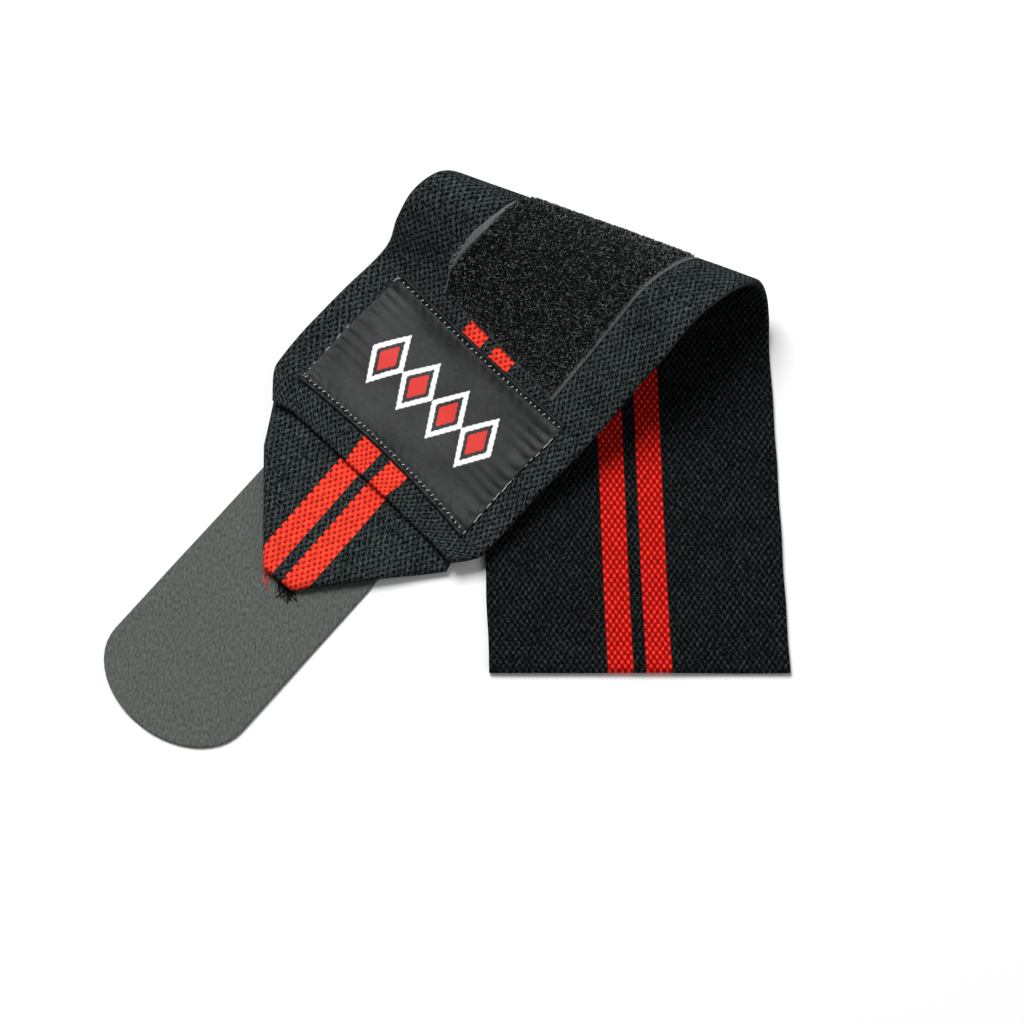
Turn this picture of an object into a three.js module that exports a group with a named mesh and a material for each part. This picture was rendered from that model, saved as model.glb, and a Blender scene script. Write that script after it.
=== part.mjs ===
// Wrist wrap: a folded elastic band with a pointed hook-and-loop end, lying on a table.
// Millimetres, +Z up. The origin is on the table, under the middle of the footprint.
import * as THREE from 'three';

// Driving sizes
const BAND_WIDTH = 80;
const BAND_WALL = 2.2;
const SEAM_GAP = 0.3;
const TAPE_WIDTH = 45;

// Edges of the band, section by section, from the hemmed end over the fold to the tail on the table.
// Each row gives the middle of the wall at the left and right selvedge, as x, y and z.
const TABLE_REST = BAND_WALL / 2;
const bandSections = [
  { at: 'hem', left: [-47.5, 19, 6.4], right: [-0.5, -28, 6.4] },
  { at: 'corner', left: [-47.1, 28.4, 6.4], right: [8.7, -26.2, 6.4] },
  { at: 'label foot', left: [-45, 32, 6.5], right: [11.2, -24.2, 6.8] },
  { at: 'label middle', left: [-32.6, 46.6, 7.8], right: [24.2, -10.2, 9.6] },
  { at: 'label head', left: [-19.5, 59.5, 10.5], right: [37.8, 2.7, 14] },
  { at: 'lift', left: [-15.8, 62.3, 15.5], right: [48.6, 13.4, 21.5] },
  { at: 'climb', left: [-13.5, 65.5, 24], right: [59, 23.5, 29] },
  { at: 'crown', left: [-9.5, 69.8, 31], right: [68.5, 33.3, 33.5] },
  { at: 'over', left: [-3.5, 74.3, 32], right: [77, 40.8, 31] },
  { at: 'back head', left: [2, 77.1, 26], right: [83.5, 46.1, 23.5] },
  { at: 'back middle', left: [6, 77.6, 17.5], right: [86.7, 46.6, 14.5] },
  { at: 'back foot', left: [8, 74.6, 9], right: [87.7, 43.6, 7] },
  { at: 'touch', left: [8.5, 68, 3], right: [87.9, 38, 2.5] },
  { at: 'tail head', left: [8.5, 55, TABLE_REST], right: [88.3, 29, TABLE_REST] },
  { at: 'tail middle', left: [9.5, 4, TABLE_REST], right: [89.5, -3, TABLE_REST] },
  { at: 'tail foot', left: [10.5, -31, TABLE_REST], right: [90.5, -33, TABLE_REST] },
  { at: 'tail hem', left: [11.5, -57, TABLE_REST], right: [91.5, -57, TABLE_REST] },
];

// Pieces sewn on the outside of the band: distance from the hem, and across from the middle line.
// skew is how much further from the hem the left side is than the right side.
const label = { start: 11.3, skew: 1.7, length: 40.4, width: 63.8, offset: 0.5, thickness: 0.9 };
const loopPatch = { start: 55.6, skew: 3, length: 62, width: TAPE_WIDTH, offset: 1.9, thickness: 1.3 };

// Pointed end: two layers of elastic folded to a blunt point, below the hem of the band
const pointedEnd = { tip: [-45.7, -31.1], heading: 51 };
// Half of its outline on each side of the heading, from the blunt tip to the edge under the hem
pointedEnd.leftSide = [[0, 4.5], [27, 27.2], [39, 33.8], [46, 31]];
pointedEnd.rightSide = [[0, -5.5], [30.5, -34], [44, -31]];
pointedEnd.bottom = 1.5;
pointedEnd.thickness = 3.5;
pointedEnd.edgeRound = 0.9;

// Hook tab: flat tape tongue with a shallow elliptical tip, lying on the table
const hookTab = { root: [-24.8, -3.4], heading: 50, tipDistance: 88, tuckLength: 8 };
hookTab.thickness = 1.2;
hookTab.tipDepth = 16;

const colours = { elastic: 0x17181a, hookTape: 0x4a4c4d, loopPile: 0x1a1a1b, satin: 0x222325 };

function fabric(colour, roughness) {
  return new THREE.MeshStandardMaterial({ color: colour, roughness, metalness: 0 });
}

function named(name, geometry, material) {
  const mesh = new THREE.Mesh(geometry, material);
  mesh.name = name;
  return mesh;
}

// Middle surface of the band, ruled between its two selvedges
const leftEdge = edgeCurve('left');
const rightEdge = edgeCurve('right');

function edgeCurve(side) {
  const points = bandSections.map((section) => new THREE.Vector3(...section[side]));
  return new THREE.CatmullRomCurve3(points, false, 'centripetal');
}

function bandPoint(along, across) {
  const point = leftEdge.getPoint(along).lerp(rightEdge.getPoint(along), across);
  point.z = Math.max(point.z, TABLE_REST);
  return point;
}

function bandNormal(along, across) {
  const step = 1e-3;
  const before = bandPoint(Math.max(along - step, 0), across);
  const after = bandPoint(Math.min(along + step, 1), across);
  const forward = after.sub(before);
  const sideways = bandPoint(along, 1).sub(bandPoint(along, 0));
  return sideways.cross(forward).normalize();
}

// Position along the sections that lies a given distance from the hem, at one place across the band
const LENGTH_STEPS = 400;
const leftLengths = leftEdge.getLengths(LENGTH_STEPS);
const rightLengths = rightEdge.getLengths(LENGTH_STEPS);

function alongAt(distance, across) {
  const reach = (i) => THREE.MathUtils.lerp(leftLengths[i], rightLengths[i], across);
  let i = 1;
  while (i < LENGTH_STEPS && reach(i) < distance) i += 1;
  const part = (distance - reach(i - 1)) / (reach(i) - reach(i - 1));
  return (i - 1 + part) / LENGTH_STEPS;
}

// Closed slab that follows the band: a finely divided box whose faces are laid on the surface.
// place gives the position along and across for each point, inner and outer are heights off the middle.
function slabOnBand(place, steps, inner, outer) {
  const geometry = new THREE.BoxGeometry(1, 1, 1, steps.along, steps.across, 1);
  const corners = geometry.attributes.position;
  for (let i = 0; i < corners.count; i += 1) {
    const { along, across } = place(corners.getX(i) + 0.5, 0.5 - corners.getY(i));
    const height = THREE.MathUtils.lerp(inner, outer, corners.getZ(i) + 0.5);
    const point = bandPoint(along, across).addScaledVector(bandNormal(along, across), height);
    corners.setXYZ(i, point.x, point.y, point.z);
  }
  geometry.computeVertexNormals();
  return geometry;
}

function sewnOn({ start, skew, length, width, offset, thickness }, steps) {
  const place = (u, v) => {
    const across = 0.5 + (offset + (v - 0.5) * width) / BAND_WIDTH;
    return { along: alongAt(start + (0.5 - v) * skew + u * length, across), across };
  };
  const seat = BAND_WALL / 2 + SEAM_GAP;
  return slabOnBand(place, steps, seat, seat + thickness);
}

function makeBand() {
  const place = (u, v) => ({ along: u, across: v });
  const steps = { along: 96, across: 10 };
  return slabOnBand(place, steps, -BAND_WALL / 2, BAND_WALL / 2);
}

// Flat piece cut from tape or cloth: an outline drawn along its heading, raised to its thickness
function laidFlat(outline, { at, heading, bottom, thickness, edgeRound = 0 }) {
  const geometry = new THREE.ExtrudeGeometry(outline, {
    depth: thickness - 2 * edgeRound,
    curveSegments: 24,
    bevelEnabled: edgeRound > 0,
    bevelThickness: edgeRound,
    bevelSize: edgeRound,
    bevelOffset: -edgeRound,
    bevelSegments: 3,
  });
  geometry.translate(0, 0, edgeRound);
  geometry.rotateZ(THREE.MathUtils.degToRad(heading));
  geometry.translate(at[0], at[1], bottom);
  return geometry;
}

function makePointedEnd() {
  const { tip, heading, leftSide, rightSide, bottom, thickness, edgeRound } = pointedEnd;
  const corners = [...rightSide, ...leftSide.slice().reverse()];
  const outline = new THREE.Shape(corners.map(([along, aside]) => new THREE.Vector2(along, aside)));
  return laidFlat(outline, { at: tip, heading, bottom, thickness, edgeRound });
}

function makeHookTab() {
  const { root, heading, tipDistance, tuckLength, thickness, tipDepth } = hookTab;
  const half = TAPE_WIDTH / 2;
  const bend = tipDepth - tipDistance;
  const outline = new THREE.Shape();
  outline.moveTo(tuckLength, half);
  outline.lineTo(bend, half);
  outline.absellipse(bend, 0, tipDepth, half, Math.PI / 2, 1.5 * Math.PI, false, 0);
  outline.lineTo(tuckLength, -half);
  return laidFlat(outline, { at: root, heading, bottom: 0, thickness });
}

const wristWrap = new THREE.Group();
wristWrap.name = 'wrist_wrap';
wristWrap.add(named('elastic_band', makeBand(), fabric(colours.elastic, 0.9)));
wristWrap.add(named('pointed_end', makePointedEnd(), fabric(colours.elastic, 0.9)));
wristWrap.add(named('hook_tab', makeHookTab(), fabric(colours.hookTape, 0.85)));
wristWrap.add(named('loop_patch', sewnOn(loopPatch, { along: 26, across: 8 }), fabric(colours.loopPile, 1)));
wristWrap.add(named('label', sewnOn(label, { along: 8, across: 12 }), fabric(colours.satin, 0.5)));

export default wristWrap;
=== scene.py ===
"""Wrist wrap: striped knitted elastic with a hook tab, a loop patch and a woven label.

The frame is in metres, with +Z up and the origin on the table under the middle of the footprint.
Shapes are worked out in millimetres and turned into metres when a mesh is made.
"""
import math
import random

import bmesh
import bpy
import numpy as np
from bpy.props import FloatProperty, FloatVectorProperty, PointerProperty
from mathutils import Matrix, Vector


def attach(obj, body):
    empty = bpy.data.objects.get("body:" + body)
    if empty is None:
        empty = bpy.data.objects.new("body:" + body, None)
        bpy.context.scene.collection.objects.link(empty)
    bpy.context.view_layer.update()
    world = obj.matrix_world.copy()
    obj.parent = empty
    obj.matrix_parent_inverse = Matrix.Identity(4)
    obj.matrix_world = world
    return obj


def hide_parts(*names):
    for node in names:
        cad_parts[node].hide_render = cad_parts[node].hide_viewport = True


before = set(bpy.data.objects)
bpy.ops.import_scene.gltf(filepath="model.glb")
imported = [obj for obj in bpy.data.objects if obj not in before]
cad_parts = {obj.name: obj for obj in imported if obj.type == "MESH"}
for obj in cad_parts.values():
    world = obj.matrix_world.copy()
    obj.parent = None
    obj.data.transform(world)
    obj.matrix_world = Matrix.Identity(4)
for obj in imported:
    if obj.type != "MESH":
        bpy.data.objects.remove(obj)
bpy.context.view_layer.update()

bl_info = {
    "name": "Wrist wrap",
    "version": (1, 0, 0),
    "blender": (4, 5, 0),
    "location": "3D View > Sidebar > Wrist wrap",
    "description": "Makes a striped elastic wrist wrap with a hook and loop fastening",
    "category": "Add Mesh",
}

MM = 0.001

# Middle of the band's wall at its left and right selvedge, from the hem over the fold to the tail
REST = 1.1
BAND_SECTIONS = (
    ((-47.5, 19, 6.4), (-0.5, -28, 6.4)),
    ((-47.1, 28.4, 6.4), (8.7, -26.2, 6.4)),
    ((-45, 32, 6.5), (11.2, -24.2, 6.8)),
    ((-32.6, 46.6, 7.8), (24.2, -10.2, 9.6)),
    ((-19.5, 59.5, 10.5), (37.8, 2.7, 14)),
    ((-15.8, 62.3, 15.5), (48.6, 13.4, 21.5)),
    ((-13.5, 65.5, 24), (59, 23.5, 29)),
    ((-9.5, 69.8, 31), (68.5, 33.3, 33.5)),
    ((-3.5, 74.3, 32), (77, 40.8, 31)),
    ((2, 77.1, 26), (83.5, 46.1, 23.5)),
    ((6, 77.6, 17.5), (86.7, 46.6, 14.5)),
    ((8, 74.6, 9), (87.7, 43.6, 7)),
    ((8.5, 68, 3), (87.9, 38, 2.5)),
    ((8.5, 55, REST), (88.3, 29, REST)),
    ((9.5, 4, REST), (89.5, -3, REST)),
    ((10.5, -31, REST), (90.5, -33, REST)),
    ((11.5, -57, REST), (91.5, -57, REST)),
)

# Where the sewn pieces start from the hem, how far they sit off the middle line,
# and how much further from the hem their left side is than their right side
LABEL_START = 11.3
LABEL_OFFSET = 0.5
LABEL_SKEW = 1.7
PATCH_START = 55.6
PATCH_OFFSET = 1.9
PATCH_SKEW = 3.0

# Air between a sewn piece and the cloth below it
SEAM_AIR = 0.08

# Pointed end and hook tab: a place on the table and the heading of their middle line
POINT_TIP = (-45.7, -31.1)
POINT_HEADING = math.radians(51)
TAB_ROOT = (-24.8, -3.4)
TAB_HEADING = math.radians(50)

# Outline of the pointed end, as distance from its tip and offset from its middle line
POINT_CORNERS = ((0, -5.5), (30.5, -34), (44, -31), (46, 31), (39, 33.8), (27, 27.2), (0, 4.5))

# One knitted stitch, along and across the band, and the depth of the holes between stitches
STITCH_LONG = 2.6
STITCH_WIDE = 1.7
HOLE_DEPTH = 0.30


class WrapSizes(bpy.types.PropertyGroup):
    """Sizes of the wrap's pieces."""

    band_width: FloatProperty(
        name="Band width", description="Width of the elastic between its selvedges",
        default=0.080, unit="LENGTH", precision=4)
    band_wall: FloatProperty(
        name="Elastic thickness", description="Thickness of one layer of the elastic",
        default=0.0022, unit="LENGTH", precision=4)
    stripe_width: FloatProperty(
        name="Stripe width", description="Width of each coloured stripe in the elastic",
        default=0.0068, unit="LENGTH", precision=4)
    stripe_gap: FloatProperty(
        name="Stripe gap", description="Dark gap between the two stripes",
        default=0.0034, unit="LENGTH", precision=4)
    tape_width: FloatProperty(
        name="Tape width", description="Width of the hook tape and the loop tape",
        default=0.045, unit="LENGTH", precision=4)
    patch_length: FloatProperty(
        name="Loop patch length", description="Length of loop tape sewn on the band",
        default=0.062, unit="LENGTH", precision=4)
    pile_height: FloatProperty(
        name="Pile height", description="Height of the loops above the loop tape",
        default=0.0007, unit="LENGTH", precision=4)
    label_width: FloatProperty(
        name="Label width", description="Label size across the band",
        default=0.0638, unit="LENGTH", precision=4)
    label_length: FloatProperty(
        name="Label length", description="Label size along the band",
        default=0.0404, unit="LENGTH", precision=4)
    thread_thickness: FloatProperty(
        name="Thread thickness", description="Thickness of the label's sewing thread",
        default=0.00026, unit="LENGTH", precision=5)


class WrapColours(bpy.types.PropertyGroup):
    """Colours of the yarns, tapes and threads."""

    elastic: FloatVectorProperty(
        name="Elastic", description="Dark yarn of the elastic",
        default=(0.0255, 0.0312, 0.0320), subtype="COLOR", min=0, max=1)
    stripe: FloatVectorProperty(
        name="Stripe", description="Bright yarn of the two stripes",
        default=(0.93, 0.064, 0.034), subtype="COLOR", min=0, max=1)
    # Painted shade: the deep red that the stripes are painted in their holes and between the bumps of the
    # back
    stripe_hole_shade: FloatVectorProperty(
        name="Stripe holes", description="Deep colour in the small holes of the stripes",
        default=(0.42, 0.002, 0.001), subtype="COLOR", min=0, max=1)
    stripe_back: FloatVectorProperty(
        name="Stripe back", description="Bright yarn on the back of the elastic",
        default=(0.96, 0.048, 0.032), subtype="COLOR", min=0, max=1)
    tape: FloatVectorProperty(
        name="Hook tape", description="Woven back of the hook tape",
        default=(0.086, 0.094, 0.088), subtype="COLOR", min=0, max=1)
    pile: FloatVectorProperty(
        name="Loop pile", description="Loops and ground of the loop tape",
        default=(0.0195, 0.0212, 0.0208), subtype="COLOR", min=0, max=1)
    # Painted sheen: the pale grey of the loop tape's flat selvedges is their sheen painted into the colour
    tape_edge_sheen: FloatVectorProperty(
        name="Loop tape edge", description="Flat selvedges of the loop tape",
        default=(0.124, 0.138, 0.134), subtype="COLOR", min=0, max=1)
    satin: FloatVectorProperty(
        name="Label ground", description="Dark satin of the label",
        default=(0.0112, 0.0129, 0.0121), subtype="COLOR", min=0, max=1)
    motif: FloatVectorProperty(
        name="Label motif", description="Bright middle of the label's lozenges",
        default=(0.66, 0.022, 0.013), subtype="COLOR", min=0, max=1)
    thread: FloatVectorProperty(
        name="Pale thread", description="Sewing thread and the pale part of the label's motif",
        default=(0.86, 0.87, 0.85), subtype="COLOR", min=0, max=1)
    floor: FloatVectorProperty(
        name="Floor", description="Plain floor under the wrap",
        default=(0.93, 0.93, 0.93), subtype="COLOR", min=0, max=1)


def sizes():
    """Sizes set in the sidebar."""
    return bpy.context.scene.wrap_sizes


def colours():
    """Colours set in the sidebar."""
    return bpy.context.scene.wrap_colours


# Surface of the band

def selvedge_curve(points, count):
    """Smooth curve through the points, with the same number of steps between each two."""
    points = np.array(points, float)
    ends = np.vstack([2 * points[0] - points[1], points, 2 * points[-1] - points[-2]])
    place = np.linspace(0, len(points) - 1, count)
    span = np.minimum(place.astype(int), len(points) - 2)
    part = (place - span)[:, None]
    before, start, stop, after = (ends[span + step] for step in range(4))
    gap_a = np.sqrt(np.linalg.norm(start - before, axis=1, keepdims=True))
    gap_b = np.sqrt(np.linalg.norm(stop - start, axis=1, keepdims=True))
    gap_c = np.sqrt(np.linalg.norm(after - stop, axis=1, keepdims=True))
    leave = (start - before) / gap_a - (stop - before) / (gap_a + gap_b) + (stop - start) / gap_b
    arrive = (stop - start) / gap_b - (after - start) / (gap_b + gap_c) + (after - stop) / gap_c
    leave = leave * gap_b
    arrive = arrive * gap_b
    square = 3 * (stop - start) - 2 * leave - arrive
    cube = 2 * (start - stop) + leave + arrive
    return start + part * (leave + part * (square + part * cube))


def run_lengths(curve):
    """Distance along a curve at each of its points."""
    steps = np.linalg.norm(np.diff(curve, axis=0), axis=1)
    return np.concatenate([[0], np.cumsum(steps)])


def smooth_step(low, high, value):
    """Rises smoothly from 0 at low to 1 at high."""
    part = np.clip((value - low) / (high - low), 0, 1)
    return part * part * (3 - 2 * part)


def edge_round(distance, radius):
    """Rounded edge: share of the full height at a distance in from the edge."""
    part = np.clip(distance / radius, 0, 1)
    return np.maximum(np.sqrt(1 - (1 - part) ** 2), 0.22)


class BandSurface:
    """Middle surface of the band, read by distance from the hem and offset from the middle line."""

    STEP = 0.5
    COLUMNS = 81
    CURVE_POINTS = 3201

    def __init__(self, width):
        self.width = width
        left, right = (selvedge_curve(points, self.CURVE_POINTS) for points in zip(*BAND_SECTIONS))
        left_runs = run_lengths(left)
        right_runs = run_lengths(right)
        self.left_length = left_runs[-1]
        self.right_length = right_runs[-1]
        self.distances = np.arange(0, max(self.left_length, self.right_length) + 2, self.STEP)
        columns = [
            self.column(left, right, left_runs, right_runs, across)
            for across in np.linspace(0, 1, self.COLUMNS)
        ]
        points = np.stack(columns, axis=1)
        points = points + self.ripple(points)
        forward = np.gradient(points, axis=0)
        sideways = np.gradient(points, axis=1)
        normals = np.cross(sideways, forward)
        self.points = points
        self.normals = normals / np.linalg.norm(normals, axis=2, keepdims=True)

    def column(self, left, right, left_runs, right_runs, across):
        """Points at each distance from the hem, at one place across the band."""
        runs = left_runs + (right_runs - left_runs) * across
        line = left + (right - left) * across
        line[:, 2] = np.maximum(line[:, 2], REST)
        found = np.stack([np.interp(self.distances, runs, line[:, axis]) for axis in range(3)], axis=1)
        beyond = np.maximum(self.distances - runs[-1], 0)[:, None]
        heading = (line[-1] - line[-2]) / (runs[-1] - runs[-2])
        return found + beyond * heading

    def ripple(self, points):
        """Small lazy waves in the cloth, which only lift it where it lies on the table."""
        along = self.distances[:, None]
        aside = (np.linspace(0, 1, self.COLUMNS)[None, :] - 0.5) * self.width
        on_table = smooth_step(4.5, 1.5, points[:, :, 2])
        sewn = 1 - 0.55 * smooth_step(6, 12, along) * smooth_step(122, 112, along)
        wave = 0.28 * np.sin(0.115 * along + 0.05 * aside + 0.6) * np.cos(0.16 * aside - 0.3)
        wave = wave + 0.17 * np.sin(0.24 * along - 0.12 * aside + 2.0)
        lift = 0.16 * (1 + np.sin(0.11 * along + 0.07 * aside + 0.4))
        lift = lift + 0.10 * (1 + np.sin(0.19 * along - 0.15 * aside))
        moved = np.zeros_like(points)
        moved[:, :, 2] = wave * sewn * (1 - on_table) + lift * on_table
        return moved

    def length_at(self, offset):
        """Length of the band from hem to hem at an offset from its middle line."""
        across = 0.5 + np.asarray(offset) / self.width
        return self.left_length + (self.right_length - self.left_length) * across

    def read(self, table, distance, offset):
        """Value from one of the tables, blended between its nearest entries."""
        row = np.asarray(distance, float) / self.STEP
        column = (0.5 + np.asarray(offset, float) / self.width) * (self.COLUMNS - 1)
        row, column = np.broadcast_arrays(row, column)
        top = np.clip(row.astype(int), 0, table.shape[0] - 2)
        side = np.clip(column.astype(int), 0, table.shape[1] - 2)
        down = (row - top)[..., None]
        over = (column - side)[..., None]
        near = table[top, side] * (1 - over) + table[top, side + 1] * over
        far = table[top + 1, side] * (1 - over) + table[top + 1, side + 1] * over
        return near * (1 - down) + far * down

    def at(self, distance, offset, height):
        """Points a height off the middle of the wall, outwards."""
        normals = self.read(self.normals, distance, offset)
        normals = normals / np.linalg.norm(normals, axis=-1, keepdims=True)
        return self.read(self.points, distance, offset) + normals * np.asarray(height)[..., None]


def stitch_relief(along, across):
    """Height of the knit from -1 in its holes to 1 on its stitches."""
    long_wave = np.cos(2 * np.pi * along / STITCH_LONG)
    wide_wave = np.cos(2 * np.pi * (across - STITCH_WIDE / 4) / STITCH_WIDE)
    return long_wave * wide_wave


def hole_depth(relief):
    """How far the face of the knit is sunk: most in its holes and nothing on its stitches."""
    return HOLE_DEPTH * (1 - smooth_step(-1.2, 0.4, relief))


def stitch_columns(half_width):
    """Offsets of the knit's columns that lie inside a half width."""
    count = int(half_width / (STITCH_WIDE / 2) - 0.5)
    return (np.arange(-count - 1, count + 1) + 0.5) * STITCH_WIDE / 2


def with_edges(middle, low, high, edge_steps):
    """Middle places with closer steps added at both edges."""
    steps = np.array(edge_steps)
    inner = middle[(middle > low + steps[-1] + 0.1) & (middle < high - steps[-1] - 0.1)]
    return np.concatenate([low + steps, inner, (high - steps)[::-1]])


def edged_grid(rows, columns, length, width, edge_steps):
    """Places along and across a piece, with closer steps at its edges."""
    rows = with_edges(rows, 0, length, edge_steps)
    columns = with_edges(columns, -width / 2, width / 2, edge_steps)
    return np.meshgrid(rows, columns, indexing="ij")


def on_table(start, heading, along, aside):
    """Place on the table, measured along and to the left of a heading."""
    x = start[0] + along * math.cos(heading) - aside * math.sin(heading)
    y = start[1] + along * math.sin(heading) + aside * math.cos(heading)
    return x, y


# Meshes

def grid_faces(rows, columns):
    """Four-cornered faces of a grid of points."""
    index = np.arange(rows * columns).reshape(rows, columns)
    corners = (index[:-1, :-1], index[:-1, 1:], index[1:, 1:], index[1:, :-1])
    return np.stack([corner.ravel() for corner in corners], axis=1)


def closed_wall(face, back):
    """Points and faces of a closed wall between two grids of the same shape."""
    rows, columns = face.shape[:2]
    count = rows * columns
    index = np.arange(count).reshape(rows, columns)
    sheet_faces = grid_faces(rows, columns)
    rim = np.concatenate([index[0, :-1], index[:-1, -1], index[-1, :0:-1], index[:0:-1, 0]])
    onward = np.roll(rim, -1)
    rim_faces = np.stack([onward, rim, rim + count, onward + count], axis=1)
    points = np.concatenate([face.reshape(-1, 3), back.reshape(-1, 3)])
    return points, np.concatenate([sheet_faces, sheet_faces[:, ::-1] + count, rim_faces])


def new_piece(name, points, faces, cloth=None):
    """Mesh object from points in millimetres, with its cloth map."""
    mesh = bpy.data.meshes.new(name)
    mesh.from_pydata((np.asarray(points) * MM).tolist(), [], [list(face) for face in faces])
    work = bmesh.new()
    work.from_mesh(mesh)
    bmesh.ops.recalc_face_normals(work, faces=work.faces[:])
    work.to_mesh(mesh)
    work.free()
    if cloth is not None:
        corners = np.zeros(len(mesh.loops), np.int32)
        mesh.loops.foreach_get("vertex_index", corners)
        layer = mesh.uv_layers.new(name="cloth")
        layer.uv.foreach_set("vector", np.asarray(cloth, np.float32)[corners].ravel())
    mesh.shade_smooth()
    piece = bpy.data.objects.new(name, mesh)
    bpy.context.scene.collection.objects.link(piece)
    return piece


def wall_piece(name, face, back, cloth):
    """Closed wall as a piece, with the same cloth map on its face and back, and its back marked."""
    points, faces = closed_wall(face, back)
    flat_map = cloth.reshape(-1, 2)
    piece = new_piece(name, points, faces, np.concatenate([flat_map, flat_map]))
    mark_points(piece, "back_side", np.repeat((0, 1), len(flat_map)))
    return piece


def mark_points(piece, name, values):
    """Note a value for each point of a piece, which its material reads by name."""
    marked = piece.data.attributes.new(name, "FLOAT", "POINT")
    marked.data.foreach_set("value", np.asarray(values, np.float32))


def thread_piece(name, runs, thickness):
    """Round threads along lists of points in millimetres, as one piece."""
    line = bpy.data.curves.new(name, "CURVE")
    line.dimensions = "3D"
    line.bevel_depth = thickness * MM / 2
    line.bevel_resolution = 1
    line.use_fill_caps = True
    line.resolution_u = 3
    for run in runs:
        spline = line.splines.new("NURBS")
        spline.points.add(len(run) - 1)
        for spot, place in zip(spline.points, run):
            spot.co = (place[0] * MM, place[1] * MM, place[2] * MM, 1)
        spline.order_u = 3
        spline.use_endpoint_u = True
    piece = bpy.data.objects.new(name, line)
    bpy.context.scene.collection.objects.link(piece)
    bpy.ops.object.select_all(action="DESELECT")
    piece.select_set(True)
    bpy.context.view_layer.objects.active = piece
    bpy.ops.object.convert(target="MESH")
    bpy.ops.object.shade_smooth()
    return piece


# Materials

class Shading:
    """Short ways to add nodes to one node tree."""

    def __init__(self, tree):
        self.tree = tree

    def add(self, kind, **settings):
        """New node with its settings."""
        made = self.tree.nodes.new(kind)
        for key, value in settings.items():
            setattr(made, key, value)
        return made

    def feed(self, socket, value):
        """Link a socket to another, or set its value."""
        if isinstance(value, bpy.types.NodeSocket):
            self.tree.links.new(value, socket)
        else:
            socket.default_value = value

    def math(self, operation, *values):
        """One math node over sockets or numbers."""
        made = self.add("ShaderNodeMath", operation=operation)
        for socket, value in zip(made.inputs, values):
            self.feed(socket, value)
        return made.outputs[0]

    def times(self, first, second):
        """Product of two sockets or numbers."""
        return self.math("MULTIPLY", first, second)

    def build_up(self, start, *shares):
        """A value with shares of other values added to it in turn."""
        for value, share in shares:
            start = self.math("MULTIPLY_ADD", value, share, start)
        return start

    def between(self, upper, low, lower, high):
        """1 where the upper value is over low and the lower value is under high."""
        return self.times(self.math("GREATER_THAN", upper, low), self.math("LESS_THAN", lower, high))

    def ramp(self, value, low, high):
        """Smooth rise from 0 to 1 as a value goes from low to high."""
        made = self.add("ShaderNodeMapRange", interpolation_type="SMOOTHSTEP")
        for socket, entry in zip(made.inputs, (value, low, high)):
            self.feed(socket, entry)
        return made.outputs[0]

    def blend(self, share, first, second, how="MIX"):
        """Mix of two colours."""
        made = self.add("ShaderNodeMix", data_type="RGBA", blend_type=how)
        self.feed(made.inputs[0], share)
        self.feed(made.inputs[6], first)
        self.feed(made.inputs[7], second)
        return made.outputs[2]

    def shade(self, colour, tone):
        """Colour made lighter or darker by a tone."""
        return self.blend(1.0, colour, tone, "MULTIPLY")

    def weigh(self, share, first, second):
        """Mix of two numbers."""
        made = self.add("ShaderNodeMix", data_type="FLOAT")
        self.feed(made.inputs[0], share)
        self.feed(made.inputs[2], first)
        self.feed(made.inputs[3], second)
        return made.outputs[0]

    def noise(self, place, scale, detail=2.0, stretch=(1, 1, 1), turn=0.0):
        """Noise value between about -0.5 and 0.5, drawn out along its turned axes."""
        moved = self.add("ShaderNodeMapping", vector_type="TEXTURE")
        self.feed(moved.inputs["Vector"], place)
        moved.inputs["Rotation"].default_value = (0, 0, turn)
        moved.inputs["Scale"].default_value = stretch
        made = self.add("ShaderNodeTexNoise")
        self.feed(made.inputs["Vector"], moved.outputs[0])
        made.inputs["Scale"].default_value = scale
        made.inputs["Detail"].default_value = detail
        return self.math("SUBTRACT", made.outputs[0], 0.5)

    def group(self, tree, **values):
        """A node group placed in this tree."""
        made = self.add("ShaderNodeGroup")
        made.node_tree = tree
        for key, value in values.items():
            self.feed(made.inputs[key], value)
        return made.outputs


def new_group(name, inputs, outputs):
    """Empty node group with named sockets; gives its shading, its given values and its results."""
    tree = bpy.data.node_groups.new(name, "ShaderNodeTree")
    for label, kind in inputs:
        tree.interface.new_socket(label, in_out="INPUT", socket_type=kind)
    for label, kind in outputs:
        tree.interface.new_socket(label, in_out="OUTPUT", socket_type=kind)
    shading = Shading(tree)
    start = shading.add("NodeGroupInput")
    end = shading.add("NodeGroupOutput")
    return shading, start.outputs, end.inputs


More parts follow.
